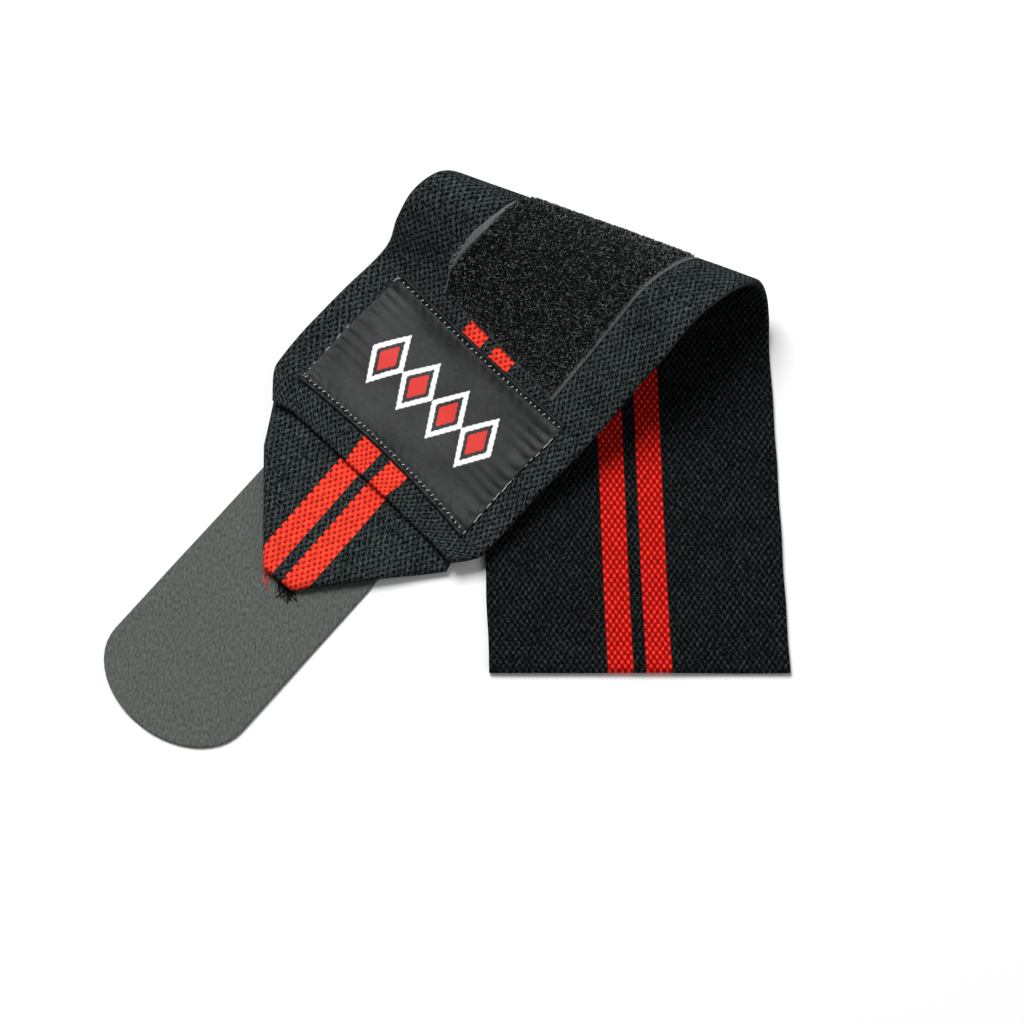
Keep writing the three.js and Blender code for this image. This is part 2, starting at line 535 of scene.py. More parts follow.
def knit_group():
    """Knitted elastic: heights of its face and back, its stripes and the tone of each stitch."""
    if "Knitted stitches" in bpy.data.node_groups:
        return bpy.data.node_groups["Knitted stitches"]
    shading, given, result = new_group(
        "Knitted stitches",
        [("Cloth", "NodeSocketVector"), ("Back side", "NodeSocketFloat"),
         ("Stripe from", "NodeSocketFloat"), ("Stripe to", "NodeSocketFloat")],
        [("Face", "NodeSocketFloat"), ("Back", "NodeSocketFloat"),
         ("Stripe", "NodeSocketFloat"), ("Tone", "NodeSocketFloat")])
    parts = shading.add("ShaderNodeSeparateXYZ")
    shading.feed(parts.inputs[0], given["Cloth"])
    stray = shading.noise(given["Cloth"], 0.45, 3.0)
    along = shading.math("DIVIDE", parts.outputs[0], STITCH_LONG)
    along = shading.build_up(along, (stray, 0.20))
    across = shading.math("SUBTRACT", parts.outputs[1], STITCH_WIDE / 4)
    across = shading.math("DIVIDE", across, STITCH_WIDE)
    sway = shading.noise(given["Cloth"], 0.62, 2.0)
    swayed = shading.build_up(across, (sway, 0.22))
    long_wave = shading.math("COSINE", shading.times(along, 2 * math.pi))
    wide_wave = shading.math("COSINE", shading.times(swayed, 2 * math.pi))
    relief = shading.times(long_wave, wide_wave)
    shading.feed(result["Face"], relief)
    shading.feed(result["Back"], shading.ramp(relief, -0.25, 0.85))
    even_along = shading.math("ROUND", along)
    even_across = shading.math("ROUND", across)
    odd_along = shading.math("ADD", shading.math("FLOOR", along), 0.5)
    odd_across = shading.math("ADD", shading.math("FLOOR", across), 0.5)
    even_gap = stitch_gap(shading, along, across, even_along, even_across)
    odd_gap = stitch_gap(shading, along, across, odd_along, odd_across)
    is_odd = shading.math("LESS_THAN", odd_gap, even_gap)
    own_along = shading.weigh(is_odd, even_along, odd_along)
    own_across = shading.weigh(is_odd, even_across, odd_across)
    lobe_size = shading.weigh(given["Back side"], 0.30, 0.12)
    stepped = shading.build_up(parts.outputs[1], (long_wave, lobe_size))
    straight = shading.build_up(parts.outputs[1], (long_wave, 0.10))
    near = shading.times(given["Stripe from"], -1.0)
    far = shading.times(given["Stripe to"], -1.0)
    left = shading.between(stepped, far, straight, near)
    right = shading.between(stepped, given["Stripe from"], straight, given["Stripe to"])
    shading.feed(result["Stripe"], shading.math("ADD", left, right))
    stitch_place = shading.add("ShaderNodeCombineXYZ")
    shading.feed(stitch_place.inputs[0], own_along)
    shading.feed(stitch_place.inputs[1], own_across)
    chance = shading.add("ShaderNodeTexWhiteNoise", noise_dimensions="2D")
    shading.feed(chance.inputs["Vector"], stitch_place.outputs[0])
    shading.feed(result["Tone"], chance.outputs["Value"])
    return shading.tree


def stitch_gap(shading, along, across, stitch_along, stitch_across):
    """Squared distance from the middle of a stitch, in millimetres."""
    down = shading.times(shading.math("SUBTRACT", along, stitch_along), STITCH_LONG)
    aside = shading.times(shading.math("SUBTRACT", across, stitch_across), STITCH_WIDE)
    return shading.math("ADD", shading.times(down, down), shading.times(aside, aside))


def weave_group():
    """Fine woven ground: height and tone of crossing threads at a given pitch."""
    if "Woven ground" in bpy.data.node_groups:
        return bpy.data.node_groups["Woven ground"]
    shading, given, result = new_group(
        "Woven ground",
        [("Cloth", "NodeSocketVector"), ("Warp pitch", "NodeSocketFloat"), ("Weft pitch", "NodeSocketFloat")],
        [("Height", "NodeSocketFloat"), ("Tone", "NodeSocketFloat")])
    parts = shading.add("ShaderNodeSeparateXYZ")
    shading.feed(parts.inputs[0], given["Cloth"])
    stray = shading.noise(given["Cloth"], 1.3, 3.0)
    along = shading.math("DIVIDE", parts.outputs[0], given["Weft pitch"])
    across = shading.math("DIVIDE", parts.outputs[1], given["Warp pitch"])
    across = shading.build_up(across, (stray, 0.8))
    twill = shading.math("ADD", along, across)
    slant = shading.math("SINE", shading.times(twill, math.pi))
    rib = shading.math("SINE", shading.times(across, 2 * math.pi))
    both = shading.build_up(shading.times(rib, 0.5), (slant, 0.6))
    fleck = shading.noise(given["Cloth"], 2.4, 2.0, (2.8, 1.0, 1.0))
    shading.feed(result["Height"], shading.build_up(both, (fleck, 1.6)))
    shading.feed(result["Tone"], shading.build_up(shading.times(fleck, 1.3), (both, 0.35)))
    return shading.tree


def new_material(name, roughness, specular):
    """Material with its plain values set; gives the material, its shading and the shader's inputs."""
    material = bpy.data.materials.new(name)
    material.use_nodes = True
    tree = material.node_tree
    tree.nodes.clear()
    shading = Shading(tree)
    end = shading.add("ShaderNodeOutputMaterial")
    shader = shading.add("ShaderNodeBsdfPrincipled")
    shader.inputs["Roughness"].default_value = roughness
    shader.inputs["Specular IOR Level"].default_value = specular
    tree.links.new(shader.outputs[0], end.inputs["Surface"])
    return material, shading, shader.inputs


def raise_surface(shading, inputs, height, strength, distance):
    """Bump from a height that changes over the surface."""
    bump = shading.add("ShaderNodeBump")
    bump.inputs["Strength"].default_value = strength
    bump.inputs["Distance"].default_value = distance * MM
    shading.feed(bump.inputs["Height"], height)
    shading.feed(inputs["Normal"], bump.outputs[0])


def cloth_map(shading):
    """The piece's own cloth map, in millimetres."""
    return shading.add("ShaderNodeUVMap", uv_map="cloth").outputs[0]


def solid(colour, factor=1.0):
    """Colour with its alpha, made lighter or darker."""
    return tuple(min(part * factor, 1.0) for part in colour) + (1.0,)


def elastic_material():
    """Striped knitted elastic, with small holes on its face and small bumps on its back. Shade is painted
    into its holes and between its bumps, and its whole back is painted darker as shade.
    """
    if "striped_elastic" in bpy.data.materials:
        return bpy.data.materials["striped_elastic"]
    material, shading, inputs = new_material("striped_elastic", roughness=0.92, specular=0.06)
    place = cloth_map(shading)
    gap = sizes().stripe_gap / MM / 2
    back = shading.add("ShaderNodeAttribute", attribute_name="back_side").outputs["Fac"]
    knit = shading.group(knit_group(), **{
        "Cloth": place, "Back side": back, "Stripe from": gap, "Stripe to": gap + sizes().stripe_width / MM})
    slant = math.atan2(-STITCH_WIDE, STITCH_LONG)
    streak = shading.noise(place, 1.9, 3.0, (2.2, 1, 1), slant)
    grain = shading.noise(place, 2.6, 2.0)
    patchy = shading.noise(place, 0.09, 2.0)
    hole = shading.ramp(knit["Face"], -0.95, 0.05)
    rough = shading.build_up(knit["Face"], (streak, 1.5), (grain, 1.2))
    wide_hole = shading.ramp(rough, -0.95, 0.35)
    uneven_back = shading.ramp(rough, -0.60, 1.10)
    yarn = colours()
    # Painted shade: the dark yarn is painted nearly black in the holes of the face and between the bumps of
    # the back, and the whole back is painted darker than the face
    face_dark = shading.blend(wide_hole, solid(yarn.elastic, 0.05), solid(yarn.elastic, 1.30))
    back_dark = shading.blend(uneven_back, solid(yarn.elastic, 0.06), solid(yarn.elastic, 0.75))
    # Painted shade: the stripes turn deep red in their holes and between the bumps of the back
    face_bright = shading.blend(hole, solid(yarn.stripe_hole_shade), solid(yarn.stripe))
    back_bright = shading.blend(knit["Back"], solid(yarn.stripe_hole_shade, 0.80), solid(yarn.stripe_back))
    dark_tone = shading.build_up(0.66, (knit["Tone"], 0.60), (streak, 4.8), (grain, 5.2), (patchy, 0.80))
    dark_tone = shading.math("MAXIMUM", dark_tone, 0.04)
    bright_tone = shading.build_up(0.86, (knit["Tone"], 0.26), (streak, 1.3))
    dark = shading.shade(shading.blend(back, face_dark, back_dark), dark_tone)
    bright = shading.shade(shading.blend(back, face_bright, back_bright), bright_tone)
    shading.feed(inputs["Base Color"], shading.blend(knit["Stripe"], dark, bright))
    level = shading.weigh(back, wide_hole, knit["Back"])
    raise_surface(shading, inputs, shading.build_up(level, (streak, 0.9)), strength=0.7, distance=0.36)
    return material


def tape_material():
    """Woven grey back of the hook tape."""
    material, shading, inputs = new_material("hook_tape_weave", roughness=0.85, specular=0.2)
    inputs["Sheen Weight"].default_value = 0.03
    inputs["Sheen Roughness"].default_value = 0.4
    place = cloth_map(shading)
    weave = shading.group(weave_group(), **{"Cloth": place, "Warp pitch": 0.62, "Weft pitch": 0.80})
    cloudy = shading.noise(place, 0.12, 3.0)
    grain = shading.noise(place, 1.7, 3.0, (2.0, 1, 1), -0.7)
    tone = shading.build_up(1.05, (weave["Tone"], 0.14), (cloudy, 0.16), (grain, 2.0))
    shading.feed(inputs["Base Color"], shading.shade(solid(colours().tape), tone))
    raise_surface(shading, inputs, weave["Height"], strength=0.3, distance=0.10)
    return material


def loop_tape_material():
    """Ground of the loop tape, painted nearly black under the pile as its shade, and painted paler on its
    flat selvedges as their sheen.
    """
    material, shading, inputs = new_material("loop_tape_ground", roughness=0.9, specular=0.05)
    place = cloth_map(shading)
    weave = shading.group(weave_group(), **{"Cloth": place, "Warp pitch": 0.7, "Weft pitch": 0.7})
    flat = shading.add("ShaderNodeAttribute", attribute_name="flat_edge").outputs["Fac"]
    # Painted shade: under the pile the ground is painted nearly black as the loops' shade, with random paler
    # flecks of fuzz
    fuzz = shading.ramp(shading.noise(place, 2.3, 2.0), -0.05, 0.27)
    painted_shade_under_pile = shading.blend(fuzz, solid(colours().pile, 0.03), solid(colours().pile, 2.6))
    ground = shading.blend(flat, painted_shade_under_pile, solid(colours().tape_edge_sheen))
    tone = shading.build_up(1.0, (weave["Tone"], 0.5))
    shading.feed(inputs["Base Color"], shading.shade(ground, tone))
    raise_surface(shading, inputs, weave["Height"], strength=0.6, distance=0.15)
    return material


def pile_material():
    """Fine loops, uneven in tone from strand to strand."""
    material, shading, inputs = new_material("loop_pile", roughness=0.7, specular=0.1)
    place = shading.add("ShaderNodeTexCoord").outputs["Object"]
    strand = shading.add("ShaderNodeAttribute", attribute_name="strand_tone").outputs["Fac"]
    cloudy = shading.noise(place, 260.0, 3.0)
    tone = shading.build_up(0.05, (strand, 11.5), (cloudy, 1.8))
    tone = shading.math("MAXIMUM", tone, 0.10)
    shading.feed(inputs["Base Color"], shading.shade(solid(colours().pile), tone))
    return material


def satin_material():
    """Dark woven satin with a chain of lozenges in its middle, with its sheen painted into the ground as
    cloudy tone and thread speckles.
    """
    material, shading, inputs = new_material("label_satin", roughness=0.36, specular=0.10)
    place = cloth_map(shading)
    weave = shading.group(weave_group(), **{"Cloth": place, "Warp pitch": 0.46, "Weft pitch": 0.92})
    parts = shading.add("ShaderNodeSeparateXYZ")
    shading.feed(parts.inputs[0], place)
    down = shading.math("ABSOLUTE", shading.math("SNAP", parts.outputs[0], 0.36))
    aside = shading.math("SNAP", parts.outputs[1], 0.30)
    half_wide = 5.7
    half_high = 9.2
    from_middle = shading.math("SUBTRACT", half_wide, shading.math("PINGPONG", aside, half_wide))
    reach = shading.math("DIVIDE", from_middle, half_wide)
    reach = shading.math("ADD", reach, shading.math("DIVIDE", down, half_high))
    in_chain = shading.math("LESS_THAN", shading.math("ABSOLUTE", aside), 4 * half_wide)
    outline = shading.times(shading.between(reach, 0.72, reach, 1.0), in_chain)
    core = shading.times(shading.math("LESS_THAN", reach, 0.50), in_chain)
    # Painted sheen: the cloudy tone stands in for broad highlights on the satin, and the fine speckles stand
    # in for the shine of its threads
    cloudy = shading.noise(place, 0.10, 2.0)
    painted_thread_sheen = shading.noise(place, 1.1, 3.0, (1.0, 2.4, 1.0))
    tone = shading.build_up(1.0, (weave["Tone"], 0.22), (cloudy, 2.6), (painted_thread_sheen, 2.4))
    ground = shading.shade(solid(colours().satin), tone)
    pattern = shading.blend(core, ground, solid(colours().motif))
    pattern = shading.blend(outline, pattern, solid(colours().thread))
    shading.feed(inputs["Base Color"], pattern)
    raise_surface(shading, inputs, weave["Height"], strength=0.2, distance=0.06)
    return material


def thread_material(name, colour):
    """Twisted thread, slightly uneven along its length."""
    material, shading, inputs = new_material(name, roughness=0.8, specular=0.1)
    place = shading.add("ShaderNodeTexCoord").outputs["Object"]
    fleck = shading.noise(place, 2600.0, 2.0)
    tone = shading.build_up(0.95, (fleck, 0.8))
    shading.feed(inputs["Base Color"], shading.shade(solid(colour), tone))
    raise_surface(shading, inputs, fleck, strength=0.4, distance=0.08)
    return material


def dress(piece, material, node=None):
    """Give a piece its material and its place in the frame, and hide the solid that it stands for."""
    piece.data.materials.clear()
    piece.data.materials.append(material)
    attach(piece, "root")
    if node:
        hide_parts(node)
    return piece


def band_surface():
    """Surface of the band at the width set in the sidebar."""
    return BandSurface(sizes().band_width / MM)


# Pieces

class WRAP_OT_band(bpy.types.Operator):
    """Make the long knitted band with its fold and its tail"""

    bl_idname = "wrap.make_band"
    bl_label = "Elastic band"

    EDGE_STEPS = (0, 0.1, 0.35, 0.75)
    RIB_DEPTH = 0.34
    TAIL_HEM = 6.2
    HEM_RISE = 0.55
    HEM_SEAM = 0.25

    def execute(self, context):
        surface = band_surface()
        width = sizes().band_width / MM
        half_wall = sizes().band_wall / MM / 2
        stitch_count = round(surface.length_at(0) / STITCH_LONG)
        cloth_length = stitch_count * STITCH_LONG
        rows = np.arange(stitch_count * 4 + 1) * STITCH_LONG / 4
        columns = stitch_columns(width / 2)
        along, aside = edged_grid(rows, columns, cloth_length, width, self.EDGE_STEPS)
        hem_line = self.hem_line(aside, width)
        distance = hem_line + along / cloth_length * (surface.length_at(aside) - hem_line)
        from_tail = cloth_length - along
        from_end = np.minimum(along, from_tail)
        from_side = width / 2 - np.abs(aside)
        body = edge_round(from_end, half_wall) * edge_round(from_side, half_wall)
        settled = smooth_step(0.6, 2.2, np.minimum(from_end, from_side))
        relief = stitch_relief(along, aside)
        pressed = WRAP_OT_loop_patch.PRESSED * self.under_patch(distance, aside)
        sunk_face = settled * hole_depth(relief) + pressed
        sunk_back = self.RIB_DEPTH * settled * (1 - smooth_step(-0.6, 1.0, relief))
        turned = smooth_step(self.TAIL_HEM + 1.2, self.TAIL_HEM, from_tail)
        seam = np.exp(-((from_tail - self.TAIL_HEM) / 0.7) ** 2)
        hem = (self.HEM_RISE * turned - self.HEM_SEAM * seam) * body
        placed = self.drawn_aside(along, aside, width)
        face = surface.at(distance, placed, half_wall * body - sunk_face)
        back = surface.at(distance, placed, -half_wall * body + sunk_back - hem)
        cloth = np.stack([along, aside], axis=2)
        band = wall_piece("band_cloth", face, back, cloth)
        dress(band, elastic_material(), "elastic_band")
        flat = (width * MM, surface.length_at(0) * MM)
        return {"FINISHED"}

    def hem_line(self, aside, width):
        """How far the front hem is set back: most in the middle and nothing at the left corner."""
        set_back = 1.6 + 0.7 * (1 - (2 * aside / width) ** 2)
        return set_back * smooth_step(0, 9, aside + width / 2)

    def drawn_aside(self, along, aside, width):
        """Offset across the band, whose stripes drift to the right as far as the fold's back."""
        drift = (1.5 - 0.3 * smooth_step(12, 50, along)) * smooth_step(150, 118, along)
        drawn = aside + drift * (1 - (aside / (width / 2)) ** 2)
        return drawn + 0.0020 * aside * np.sin(0.31 * along + 1)

    def under_patch(self, distance, aside):
        """Share of the full pressing that the sewn loop tape gives the cloth below it."""
        width = sizes().tape_width / MM
        across = aside - PATCH_OFFSET
        along = distance - PATCH_START + PATCH_SKEW * across / width
        inside = np.minimum(along, sizes().patch_length / MM - along)
        inside = np.minimum(inside, width / 2 - np.abs(across))
        return smooth_step(-1.2, 0.4, inside)


class WRAP_OT_pointed_end(bpy.types.Operator):
    """Make the doubled elastic folded to a blunt point under the band's hem"""

    bl_idname = "wrap.make_pointed_end"
    bl_label = "Pointed end"

    TOP = 5.0
    FOLD = 1.65
    STRIPE_SHIFT = 0.4
    SAG = 1.1
    SWELL = 0.22
    FOLD_TURNS = (25, 50, 75, 100, 125, 150, 180)
    FLAT_SIZE = (0.067, 0.046)

    def sides(self):
        """Lines of the outline, each as a point and its outward direction."""
        corners = np.array(POINT_CORNERS, float)
        runs = np.roll(corners, -1, axis=0) - corners
        outs = np.stack([runs[:, 1], -runs[:, 0]], axis=1)
        outs = outs / np.linalg.norm(outs, axis=1, keepdims=True)
        return list(zip(corners, outs))

    def flat_area(self):
        """Area inside the outline."""
        corners = np.array(POINT_CORNERS, float)
        onward = np.roll(corners, -1, axis=0)
        return np.sum(corners[:, 0] * onward[:, 1] - corners[:, 1] * onward[:, 0]) / 2

    def cut_grid(self):
        """Knit-sized grid cut to the outline, set in by the radius of the fold."""
        rows = np.arange(-2, 75) * STITCH_LONG / 4
        columns = stitch_columns(38) - self.STRIPE_SHIFT
        along, aside = np.meshgrid(rows, columns, indexing="ij")
        flat = np.stack([along.ravel(), aside.ravel(), np.zeros(along.size)], axis=1)
        work = bmesh.new()
        spots = [work.verts.new(place) for place in flat]
        for face in grid_faces(*along.shape):
            work.faces.new([spots[i] for i in face])
        for place, out in self.sides():
            inset = place - out * self.FOLD
            geometry = work.verts[:] + work.edges[:] + work.faces[:]
            bmesh.ops.bisect_plane(
                work, geom=geometry, dist=1e-5, plane_co=(inset[0], inset[1], 0),
                plane_no=(out[0], out[1], 0), clear_outer=True)
        return work

    def rim(self, work):
        """Indices of the points round the cut, in order."""
        onward = {}
        for edge in work.edges:
            if edge.is_boundary:
                loop = edge.link_loops[0]
                onward[loop.vert.index] = loop.link_loop_next.vert.index
        first = next(iter(onward))
        order = [first]
        while onward[order[-1]] != first:
            order.append(onward[order[-1]])
        return order

    def outward(self, place):
        """Direction out of the outline at a point of the rim, longer at a corner."""
        facing = [out for spot, out in self.sides() if abs((place - spot) @ out + self.FOLD) < 1e-3]
        total = sum(facing)
        return total * (2 / (total @ total) if len(facing) > 1 else 1)

    def execute(self, context):
        work = self.cut_grid()
        work.verts.index_update()
        cloth = [np.array(spot.co[:2]) for spot in work.verts]
        faces = [[spot.index for spot in face.verts] for face in work.faces]
        rim = self.rim(work)
        work.free()
        relief = [stitch_relief(place[0], -place[1] - self.STRIPE_SHIFT) for place in cloth]
        points = [
            np.array([place[0], place[1], self.TOP - hole_depth(bump)])
            for place, bump in zip(cloth, relief)
        ]
        ways = [self.outward(cloth[i]) for i in rim]
        ring = list(rim)
        for turn in np.radians(self.FOLD_TURNS):
            reach = self.FOLD * math.sin(turn)
            drop = self.FOLD * (1 - math.cos(turn))
            fresh = []
            for i, way in zip(rim, ways):
                spot = cloth[i] + way * reach
                bump = 0.5 * (self.TOP - points[i][2]) * max(math.cos(turn), 0)
                fresh.append(len(points))
                points.append(np.array([spot[0], spot[1], self.TOP - bump - drop]))
                cloth.append(cloth[i] + way * self.FOLD * turn)
            for k in range(len(rim)):
                follow = (k + 1) % len(rim)
                faces.append([ring[follow], ring[k], fresh[k], fresh[follow]])
            ring = fresh
        faces.append(ring[::-1])
        placed = self.lay_down(np.array(points))
        cloth = np.array(cloth) * (1, -1) - (0, self.STRIPE_SHIFT)
        piece = new_piece("pointed_end_cloth", placed, faces, cloth)
        mark_points(piece, "back_side", np.zeros(len(placed)))
        dress(piece, elastic_material(), "pointed_end")
        return {"FINISHED"}

    def lay_down(self, points):
        """Turn the piece to its heading; its wings sag a little beside the tape below."""
        sag = self.SAG * smooth_step(22, 31, np.abs(points[:, 1]))
        swell = self.SWELL * np.sin(0.21 * points[:, 0] + 0.10 * points[:, 1])
        swell = swell * smooth_step(30, 22, points[:, 0])
        x, y = on_table(POINT_TIP, POINT_HEADING, points[:, 0], points[:, 1])
        return np.stack([x, y, points[:, 2] - sag + np.minimum(swell, 0)], axis=1)


class WRAP_OT_hook_tab(bpy.types.Operator):
    """Make the flat tape tongue with its rounded tip"""

    bl_idname = "wrap.make_hook_tab"
    bl_label = "Hook tab"

    REACH = 88.0
    TUCK = 8
    TIP = 16.0
    WALL = 1.2
    WAVE = 0.10
    TIP_TURNS = (0, 8, 16, 24, 32, 40, 48, 56, 64, 71, 77, 82, 86, 88.5)
    EDGE_SHARES = (0, 0.004, 0.012, 0.025, 0.05)

    def execute(self, context):
        half = sizes().tape_width / MM / 2
        straight = np.arange(-self.TUCK, self.REACH - self.TIP, 1.2)
        turn = np.radians(self.TIP_TURNS)
        along = np.concatenate([straight, self.REACH - self.TIP + self.TIP * np.sin(turn)])
        taper = np.concatenate([np.ones(len(straight)), np.cos(turn)])[:, None]
        edge = np.array(self.EDGE_SHARES)
        share = np.concatenate([-1 + edge, np.linspace(-0.9, 0.9, 37), (1 - edge)[::-1]])
        down, part = np.meshgrid(along, share, indexing="ij")
        aside = part * half * taper
        from_edge = np.minimum((1 - np.abs(part)) * half * taper, self.REACH - down)
        body = edge_round(from_edge, 0.45)
        wave = self.WAVE * (1 + np.sin(0.13 * down + 0.05 * aside + 1.0)) * smooth_step(30, 55, down)
        middle = self.WALL / 2
        face = self.lay_down(down, aside, middle + middle * body + wave)
        back = self.lay_down(down, aside, middle - middle * body)
        cloth = np.stack([down, aside], axis=2)
        piece = wall_piece("hook_tab_tape", face, back, cloth)
        dress(piece, tape_material(), "hook_tab")
        return {"FINISHED"}

    def lay_down(self, along, aside, height):
        """Points of the tape on the table, measured from its root towards its tip."""
        x, y = on_table(TAB_ROOT, TAB_HEADING, -along, aside)
        return np.stack([x, y, np.broadcast_to(height, x.shape)], axis=2)


class WRAP_OT_loop_patch(bpy.types.Operator):
    """Make the loop tape on the band and the pile that stands on it"""

    bl_idname = "wrap.make_loop_patch"
    bl_label = "Loop patch"

    RIGHT_EDGE = 0.7
    LOOPS = 13500
    LOOP_RADIUS = 0.105
    PRESSED = 0.5
    TAPE_HEIGHT = 0.32
    MIDDLE_RISE = 0.25
    EDGE_STEPS = (0, 0.15, 0.4, 0.8)

    def execute(self, context):
        surface = band_surface()
        width = sizes().tape_width / MM
        length = sizes().patch_length / MM
        seat = sizes().band_wall / MM / 2 - self.PRESSED
        base = self.make_base(surface, width, length, seat)
        pile = self.make_pile(surface, width, length, seat)
        return {"FINISHED"}

    def left_edge(self, along):
        """Width of the bare left selvedge, which the pile slowly covers."""
        return 0.4 + 1.6 * smooth_step(5, 11, along) * smooth_step(40, 20, along)

    def drawn_in(self, along, aside, width):
        """Offset across the tape, whose left edge wanders and has its first corner drawn in."""
        inward = 3.2 * smooth_step(10, 0, along) - 1.5 + 2.9 * smooth_step(11, 30, along)
        return aside + inward * (0.5 - aside / width)

    def make_base(self, surface, width, length, seat):
        """Tape with flat selvedges and a raised middle."""
        side = width / 2
        rows = np.arange(0, length, 0.9)
        columns = np.arange(-side, side, 0.75)
        along, aside = edged_grid(rows, columns, length, width, self.EDGE_STEPS)
        from_end = np.minimum(along, length - along)
        from_left = aside + side
        from_right = side - aside
        rim = edge_round(np.minimum(from_end, np.minimum(from_left, from_right)), 0.5)
        raised = smooth_step(-0.3, 0.4, from_left - self.left_edge(along))
        raised = raised * smooth_step(self.RIGHT_EDGE - 0.2, self.RIGHT_EDGE + 0.4, from_right)
        raised = raised * smooth_step(0.2, 1.0, from_end)
        lumps = 0.08 * np.sin(1.9 * along + 0.7 * aside) * np.sin(2.3 * aside - 0.4 * along)
        height = self.TAPE_HEIGHT * rim + raised * (self.MIDDLE_RISE + lumps)
        distance = PATCH_START + along - PATCH_SKEW * aside / width
        across = PATCH_OFFSET + self.drawn_in(along, aside, width)
        face = surface.at(distance, across, seat + 0.1 + height)
        back = surface.at(distance, across, seat + SEAM_AIR)
        cloth = np.stack([along, aside], axis=2)
        base = wall_piece("loop_patch_tape", face, back, cloth)
        mark_points(base, "flat_edge", np.tile((1 - raised).ravel(), 2))
        return dress(base, loop_tape_material(), "loop_patch")

    def make_pile(self, surface, width, length, seat):
        """Small leaning loops over the raised part of the tape."""
        chance = np.random.default_rng(7)
        count = self.LOOPS
        tall = sizes().pile_height / MM
        along = chance.uniform(0.3, length - 0.3, count)
        left = -width / 2 + self.left_edge(along) + 0.2
        right = width / 2 - self.RIGHT_EDGE - 0.2
        aside = left + (right - left) * chance.uniform(0, 1, count)
        aside = self.drawn_in(along, aside, width)
        along = PATCH_START + along - PATCH_SKEW * aside / width
        turn = chance.uniform(0, 2 * np.pi, count)
        span = chance.uniform(0.16, 0.40, count)
        rise = tall * chance.uniform(0.45, 1.05, count)
        lean = chance.normal(0, 0.24, (count, 2))
        foot = seat + 0.45
        steps = ((-1.0, 0.0), (-0.1, 1.0), (1.0, 0.35))
        paths = []
        for reach, level in steps:
            down = along + np.cos(turn) * span * reach + lean[:, 0] * level
            over = aside + np.sin(turn) * span * reach + lean[:, 1] * level
            paths.append(surface.at(down, PATCH_OFFSET + over, foot + rise * level))
        points, faces = fine_strands(np.stack(paths, axis=1), self.LOOP_RADIUS)
        pile = new_piece("loop_pile_strands", points, faces)
        tones = np.repeat(chance.uniform(0, 1, count) ** 3, len(points) // count)
        mark_points(pile, "strand_tone", tones)
        return dress(pile, pile_material(), None)


def fine_strands(paths, radius):
    """Three-sided closed strands along many short paths of equal point count."""
    count, steps = paths.shape[:2]
    heading = np.gradient(paths, axis=1)
    heading = heading / np.maximum(np.linalg.norm(heading, axis=2, keepdims=True), 1e-9)
    across = np.cross(heading, np.array([0.31, 0.52, 0.79]))
    across = across / np.maximum(np.linalg.norm(across, axis=2, keepdims=True), 1e-9)
    upward = np.cross(across, heading)
    rings = []
    for corner in range(3):
        angle = 2 * np.pi * corner / 3
        rings.append(paths + radius * (np.cos(angle) * across + np.sin(angle) * upward))
    points = np.stack(rings, axis=2).reshape(-1, 3)
    index = np.arange(count * steps * 3).reshape(count, steps, 3)
    faces = []
    for corner in range(3):
        onward = (corner + 1) % 3
        corners = (index[:, :-1, corner], index[:, :-1, onward], index[:, 1:, onward], index[:, 1:, corner])
        faces.extend(np.stack([each.ravel() for each in corners], axis=1).tolist())
    faces.extend(index[:, 0, ::-1].tolist())
    faces.extend(index[:, -1].tolist())
    return points, faces


def label_distance(along, aside):
    """Distance from the band's hem of a place on the label, whose first edge is arched."""
    width = sizes().label_width / MM
    foot = 1 - along / (sizes().label_length / MM)
    arch = 1 - (2 * aside / width) ** 2
    bow = foot * (1.8 * arch - 0.8) + (1 - foot) * 0.9 * (1 - arch)
    return LABEL_START + along - LABEL_SKEW * aside / width + bow


